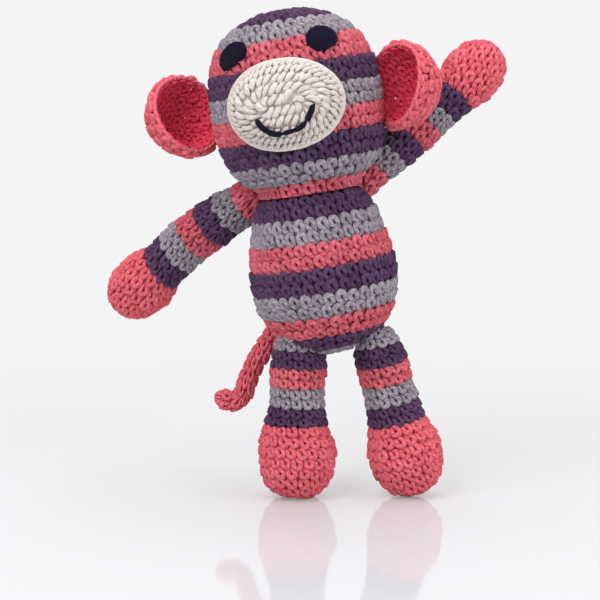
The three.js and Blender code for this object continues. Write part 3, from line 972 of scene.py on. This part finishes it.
earLook = {
    "radius": 13.6,
    "depth": 14.2,
    "power": 2.2,
    "rows": 6,
    "turnSteps": 50,
    "forward": 4,
    "inwardTurn": 54,
    "upTurn": 18,
    "flare": 1.2,
    "flareFrom": 0.9,
    "toHead": (0.8, 0.6),
    "tab": 4,
    "sink": 0.3,
    "inside": {"sink": 1.3, "gauge": -0.5},
    "lining": 1.3,
    "pinholes": 0.2,
    "buried": 0.6,
    "edgeYarn": 0.8,
    "edgeSwell": 0,
    "edgeLift": -0.6,
    "edgeGap": 0.5,
    "edgeInset": 0.1,
    "edgeSteps": 60,
    "edgeBlur": 2,
}
rightEarLook = {**earLook, "side": -1, "out": 39.8, "drop": 0.3}
leftEarLook = {**earLook, "side": 1, "out": 37.8, "drop": 1.8, "edgeSwell": 1.3, "tab": 9}


def earWays(look):
    # the way that the cup faces, and the ways out round its mouth
    inward = math.radians(look["inwardTurn"])
    upward = math.radians(look["upTurn"])
    facing = (
        headAcross * (-look["side"] * math.sin(inward) * math.cos(upward))
        - headBack * math.cos(inward) * math.cos(upward)
        + headUp * math.sin(upward)
    )
    upwards = (headUp - facing * headUp.dot(facing)).normalized()
    return facing, waysRound(upwards, facing.cross(upwards))


def earSurface(look, facing, ways):
    # a cup that is drawn out to a tab where it is sewn to the head
    mouth = headPlace(look["side"] * look["out"], -look["forward"], -look["drop"])
    tabInward, tabUpward = look["toHead"]
    toHead = (headAcross * (-look["side"] * tabInward) + headUp * tabUpward).normalized()
    turns = np.linspace(0, math.pi / 2, look["turnSteps"])
    grid = np.zeros((len(turns), formColumns, 3))
    for step, turn in enumerate(turns):
        back = look["depth"] * math.cos(turn) ** (2 / look["power"])
        wide = look["radius"] * math.sin(turn) ** (2 / look["power"])
        wide += look["flare"] * max(0, math.sin(turn) - look["flareFrom"]) / (1 - look["flareFrom"])
        for column, way in enumerate(ways):
            near = max(0, way.dot(toHead)) ** 2 * wide / look["radius"]
            grid[step, column] = mouth + (way * wide - facing * back + toHead * look["tab"] * near) * mm
    return newSurface(evenGrid(grid, np.ones(look["rows"]))[0])


def earEdge(look, surface):
    # round the mouth, the outermost level of the cup that stands clear of the head
    levels = np.linspace(0, look["rows"] - look["edgeInset"], look["edgeSteps"])
    flat = np.zeros(look["edgeSteps"])
    edge = []
    for share in np.linspace(0, 1, formColumns, endpoint=False):
        places = onSurface(surface, flat + share, levels, flat)
        clear = [isOutside(place, headTree, -look["edgeGap"]) for place in places]
        edge.append(levels[clear].max(initial=0))
    blur = range(-look["edgeBlur"], look["edgeBlur"] + 1)
    return np.mean([np.roll(edge, step) for step in blur], axis=0)


def makeEar(name, look):
    # stitches outside and inside, a lining between them, and a round of yarn along the edge; inside stitches
    # and lining are a darker coral, painted shade of the hollow
    facing, ways = earWays(look)
    surface = earSurface(look, facing, ways)
    work = newWork()

    def clearOfHead(place):
        return isOutside(place, headTree, look["buried"])

    for row in range(look["rows"]):
        layRound(work, surface, row, 0, {**stitch, "sink": look["sink"]}, turn=1, keep=clearOfHead)
        layRound(work, surface, row, 1, {**stitch, **look["inside"]}, turn=1, keep=clearOfHead)
    lining = [1] * look["rows"]
    layBacking(work, surface, lining, look["lining"], keep=clearOfHead, pinholes=look["pinholes"])
    nearHead = [-look["side"] * way.dot(headAcross) for way in ways]
    thick = look["edgeYarn"] + look["edgeSwell"] * np.maximum(nearHead, 0) ** 2
    layCord(work, surface, earEdge(look, surface), look["edgeLift"], thick)
    piece = finishWork(name + "_crochet", work, [yarn["coral"], yarn["hollowShadeCoral"]])
    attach(piece, "head")
    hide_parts(name)


makeEar("right_ear", rightEarLook)
makeEar("left_ear", leftEarLook)
print("ears ready")

tailLook = {
    "radius": 3.7,
    "rootStart": -2.5,
    "hang": 24.8,
    "bow": 1.2,
    "sideLean": 27,
    "backLean": 8,
    "curlRadius": 5.4,
    "curlTurn": 88,
    "lineSteps": 30,
    "capSteps": 14,
    "columns": 48,
    "rows": 10,
    "stitch": {"yarn": 0.95, "width": 4.2, "height": 4.0, "fewest": 5, "sink": 1.2},
    "backing": 1.5,
    "backingColumns": 24,
    "blendBefore": 3,
    "blendAfter": 10,
    "fill": 0.6,
}


def tailRings(look, root, down, inward):
    # a tube from the tip back, along a line that hangs from the root and curls at the tip
    line = []
    for step in np.linspace(look["rootStart"], look["hang"], look["lineSteps"]):
        bow = math.sin(math.pi * max(step, 0) / look["hang"])
        line.append(root + (down * step + inward * look["bow"] * bow))
    for turn in np.linspace(0, math.radians(look["curlTurn"]), look["lineSteps"])[1:]:
        ahead = look["hang"] + look["curlRadius"] * math.sin(turn)
        line.append(root + (down * ahead + inward * look["curlRadius"] * (1 - math.cos(turn))))
    line = np.array(line[::-1])
    way = unit(np.gradient(line, axis=0))
    radius = look["radius"]
    tip = [
        (line[0] - way[0] * radius * math.cos(turn), way[0], radius * math.sin(turn))
        for turn in np.linspace(0, math.pi / 2, look["capSteps"])[:-1]
    ]
    tube = [(place, ahead, radius) for place, ahead in zip(line, way)]
    flat = unit(np.cross(np.array(down), np.array(inward)))
    angles = np.linspace(0, math.tau, look["columns"], endpoint=False)[:, None]
    rings = []
    for centre, ahead, wide in tip + tube:
        first = np.cross(unit(np.cross(ahead, flat)), ahead)
        rings.append(centre + wide * (np.cos(angles) * first + np.sin(angles) * np.cross(ahead, first)))
    return np.array(rings) * mm


def makeTail(look):
    pivot = Vector(hinges["tail_swing"]["pos_m"])
    side = math.radians(look["sideLean"])
    down = Vector((-math.sin(side), math.sin(math.radians(look["backLean"])), -math.cos(side)))
    inward = Vector((-math.cos(side), 0, math.sin(side)))
    even, length = evenGrid(tailRings(look, pivot / mm, down, inward), np.ones(look["rows"]))
    print("tail rows are", round(length / mm / look["rows"], 2), "mm")
    surface = newSurface(even)
    small = newStitch(look["stitch"])
    work = newWork()
    for row in range(look["rows"]):
        layRound(work, surface, row, 0, small, turn=-1)
    layBacking(work, surface, [0] * look["rows"], look["backing"], look["backingColumns"])
    piece = finishWork("tail_crochet", work, [yarn["coral"]])
    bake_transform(piece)
    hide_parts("tail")


makeTail(tailLook)

seamLook = {
    "pitch": 2.1,
    "fewest": 5,
    "reach": 1.4,
    "yarn": 0.62,
    "tips": 0.6,
    "shades": (0.1, 0.8),
    "proud": -1.4,
    "whip": [(-1, -1, -0.8), (-0.45, -0.4, 0.3), (0.45, 0.4, 0.3), (1, 1, -0.8)],
}


def makeSeam(name, axis, material, look):
    # whip stitches over the ring where two pieces meet: steps along it, across it and outwards
    places = placesOf(nodes[name].data)
    centre = (places.max(0) + places.min(0)) / 2
    spread = places - centre
    flat = spread - np.outer(spread @ np.array(axis), np.array(axis))
    radius = np.linalg.norm(flat, axis=1).mean() / mm
    start = axis.orthogonal().normalized()
    other = axis.cross(start)
    count = max(look["fewest"], round(math.tau * radius / look["pitch"]))
    work = newWork()
    for index in range(count):
        path = []
        for share, level, out in look["whip"]:
            angle = math.tau * (index + 0.5 * share) / count
            around = start * math.cos(angle) + other * math.sin(angle)
            across = axis * level * look["reach"]
            path.append(tuple(Vector(centre) / mm + around * (radius + out + look["proud"]) + across))
        layThread(work, path, look["yarn"], look)
    piece = finishWork(name + "_stitches", work, [material])
    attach(piece, "torso")
    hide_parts(name)


def ringAxis(name):
    # the thin direction of a seam ring
    places = placesOf(nodes[name].data)
    ways = np.linalg.eigh(np.cov((places - places.mean(0)).T))[1]
    return Vector(ways[:, 0]).normalized()


makeSeam("neck_seam", spineAxis, yarn["purple"], seamLook)
for joined in ("right_shoulder", "left_shoulder", "right_hip", "left_hip", "tail"):
    makeSeam(joined + "_seam", ringAxis(joined + "_seam"), yarn["coral"], seamLook)
print("seams ready")


# Inside: fibre wads, the capsule and its beads

def cloudedMaterial(name, look):
    # one noise gives the tint, and the gloss where the look has one; the grain gives the bump
    material, tree = newMaterial(name)
    place = addNode(tree, "TexCoord", "Object")
    cloud = addNode(tree, "TexNoise", "Fac", {"Vector": place, **look["cloud"]})
    tint = addNode(tree, "ValToRGB", "Color", {"Fac": cloud})
    tint.node.color_ramp.elements[0].color = fromScreen(look["deep"])
    tint.node.color_ramp.elements[1].color = fromScreen(look["light"])
    sockets = {"Base Color": tint, **look["sockets"]}
    if "gloss" in look:
        sockets["Roughness"] = addNode(tree, "MapRange", "Result", {"Value": cloud, **look["gloss"]})
    if "bump" in look:
        grain = addNode(tree, "TexNoise", "Fac", {"Vector": place, **look.get("grain", look["cloud"])})
        sockets["Normal"] = addNode(tree, "Bump", "Normal", {"Height": grain, **look["bump"]})
    setInputs(tree, tree.nodes["Principled BSDF"], sockets)
    return material


fibreLook = {
    "sockets": {"Roughness": 0.95, "Sheen Weight": 0.4},
    "cloud": {"Scale": 900, "Detail": 6, "Distortion": 2.5},
    "deep": (214, 212, 206),
    "light": (247, 246, 242),
    "bump": {"Strength": 0.9, "Distance": 0.4 * mm},
}
fibre = cloudedMaterial("fibreWad", fibreLook)
wadLook = {"voxel": 1.5, "merge": 0.01, "rough": 1.0, "sunk": 1.0, "cloudSize": 8, "fill": 0.6}
clouds = bpy.data.textures.new("fibreClouds", "CLOUDS")
clouds.noise_scale = wadLook["cloudSize"] * mm


def makeWad(name, body, look):
    wad = bpy.data.objects.new(name + "_wad", nodes[name].data.copy())
    scene.collection.objects.link(wad)
    wad.data.materials.clear()
    pickOnly(wad)
    bpy.ops.object.mode_set(mode="EDIT")
    bpy.ops.mesh.select_all(action="SELECT")
    bpy.ops.mesh.remove_doubles(threshold=look["merge"] * mm)
    bpy.ops.object.mode_set(mode="OBJECT")
    remesh = wad.modifiers.new("wadding", "REMESH")
    remesh.mode = "VOXEL"
    remesh.voxel_size = look["voxel"] * mm
    bpy.ops.object.modifier_apply(modifier="wadding")
    tuft = wad.modifiers.new("tufts", "DISPLACE")
    tuft.texture = clouds
    tuft.texture_coords = "LOCAL"
    tuft.strength = -look["rough"] * mm
    tuft.mid_level = -look["sunk"]
    bpy.ops.object.modifier_apply(modifier="tufts")
    bpy.ops.object.shade_smooth()
    if body in limbBends:
        points = placesOf(wad.data)[:, None]
        wad.data.vertices.foreach_set("co", bendForm(points, *limbBends[body]).reshape(-1))
        wad.data.update()
    wad.data.materials.append(fibre)
    if body in limbBlends:
        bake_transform(wad)
    else:
        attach(wad, body)
    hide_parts(name)


for wadName, wadBody in (
    ("head_stuffing", "head"),
    ("muzzle_stuffing", "head"),
    ("torso_stuffing_lower", "torso"),
    ("torso_stuffing_upper", "torso"),
    ("right_arm_stuffing", "right_arm"),
    ("left_arm_stuffing", "left_arm"),
    ("right_leg_stuffing", "right_leg"),
    ("left_leg_stuffing", "left_leg"),
):
    makeWad(wadName, wadBody, wadLook)
print("wads ready")

plasticLook = {
    "sockets": {"Subsurface Weight": 0.15, "Subsurface Radius": (0.002, 0.002, 0.0018)},
    "cloud": {"Scale": 90, "Detail": 3},
    "deep": (226, 222, 211),
    "light": (240, 238, 230),
    "gloss": {"To Min": 0.32, "To Max": 0.46},
    "grain": {"Scale": 2600, "Detail": 2},
    "bump": {"Strength": 0.25, "Distance": 0.05 * mm},
}
steelLook = {
    "sockets": {"Metallic": 1.0},
    "cloud": {"Scale": 1800, "Detail": 4},
    "deep": (168, 169, 171),
    "light": (205, 206, 207),
    "gloss": {"To Min": 0.2, "To Max": 0.42},
}
capsulePlastic = cloudedMaterial("capsulePlastic", plasticLook)
beadSteel = cloudedMaterial("beadSteel", steelLook)
for nodeName, node in nodes.items():
    if nodeName.startswith("rattle_"):
        finish = beadSteel if "bead" in nodeName else capsulePlastic
        for place in node.material_slots:
            place.material = finish
print("rattle finished")


# Studio: pale floor with a faint reflection, soft light, the photograph's camera

studio = {
    "floorSize": 8,
    "floorDrop": 0.2,
    "floorColour": (220, 220, 224),
    "floorRoughness": 0.6,
    "white": (244, 244, 245),
    "mirror": 0.2,
    "mirrorBlur": 0.07,
    "shadow": 0.7,
    "shadowFrom": 0.12,
    "shadowReach": 0.4,
    "worldColour": (250, 250, 252),
    "worldStrength": 0.5,
    "camera": (-2.2, -646, 140.9),
    "target": (-2.2, 0, 72.9),
    "lens": 105.96,
    "sensor": 36,
    "lampTarget": (0, 0, 90),
    "lamps": [
        {"name": "keyLight", "place": (-520, -700, 820), "size": 700, "power": 7.3},
        {"name": "fillLight", "place": (650, -600, 420), "size": 700, "power": 3.7},
        {"name": "topLight", "place": (0, 120, 950), "size": 800, "power": 4.1},
    ],
}


def makeFloor(look):
    bpy.ops.object.select_all(action="DESELECT")
    bpy.ops.mesh.primitive_plane_add(size=look["floorSize"], location=(0, 0, -look["floorDrop"] * mm))
    floor = bpy.context.object
    floor.name = "studioFloor"
    # seen by the camera it is the backdrop's white, with some of its own shade and mirror near the toy
    material, tree = newMaterial("floorCard")
    card = tree.nodes["Principled BSDF"]
    own = {"Base Color": fromScreen(look["floorColour"]), "Roughness": look["floorRoughness"]}
    setInputs(tree, card, own)
    away = addNode(tree, "VectorMath", "Value", {0: addNode(tree, "TexCoord", "Object")}, operation="LENGTH")
    fade = addNode(tree, "MapRange", "Result", {
        "Value": away,
        "From Min": look["shadowFrom"],
        "From Max": look["shadowReach"],
        "To Min": 1 - look["shadow"],
    })
    seen = addMath(tree, "MULTIPLY", addNode(tree, "LightPath", "Is Camera Ray"), fade)
    white = addNode(tree, "Emission", 0, {"Color": fromScreen(look["white"]), "Strength": 1.0})
    shown = addNode(tree, "MixShader", 0, {0: seen, 1: card.outputs[0], 2: white})
    mirror = addNode(tree, "BsdfGlossy", 0, {"Color": (1, 1, 1, 1), "Roughness": look["mirrorBlur"]})
    mirrored = addNode(tree, "MixShader", 0, {0: look["mirror"], 1: shown, 2: mirror})
    setInputs(tree, tree.nodes["Material Output"], {"Surface": mirrored})
    floor.data.materials.append(material)


def makeWorld(look):
    # seen directly, mirrored or through clear pieces it is the backdrop's white; it lights the toy softly
    world = bpy.data.worlds.new("studioWorld")
    world.use_nodes = True
    scene.world = world
    tree = world.node_tree
    soft = tree.nodes["Background"]
    setInputs(tree, soft, {"Color": fromScreen(look["worldColour"]), "Strength": look["worldStrength"]})
    white = addNode(tree, "Background", 0, {"Color": fromScreen(look["white"]), "Strength": 1.0})
    path = tree.nodes.new("ShaderNodeLightPath").outputs
    seen = addMath(tree, "MAXIMUM", path["Is Camera Ray"], path["Is Glossy Ray"])
    seen = addMath(tree, "MAXIMUM", seen, path["Is Transmission Ray"])
    shown = addNode(tree, "MixShader", 0, {0: seen, 1: soft.outputs[0], 2: white})
    setInputs(tree, tree.nodes["World Output"], {"Surface": shown})


def aimed(place, target):
    # the location and rotation of a lamp or camera that looks at a target
    start = Vector(place) * mm
    turn = (Vector(target) * mm - start).to_track_quat("-Z", "Y").to_euler()
    return {"location": start, "rotation": turn}


def makeLights(look):
    for lamp in look["lamps"]:
        bpy.ops.object.light_add(type="AREA", **aimed(lamp["place"], look["lampTarget"]))
        light = bpy.context.object
        light.name = lamp["name"]
        light.data.size = lamp["size"] * mm
        light.data.energy = lamp["power"]
        light.visible_glossy = False


def makeCamera(look):
    bpy.ops.object.camera_add(**aimed(look["camera"], look["target"]))
    camera = bpy.context.object
    camera.data.lens = look["lens"]
    camera.data.sensor_width = look["sensor"]
    scene.camera = camera


makeFloor(studio)
makeWorld(studio)
makeLights(studio)
makeCamera(studio)
print("studio ready")
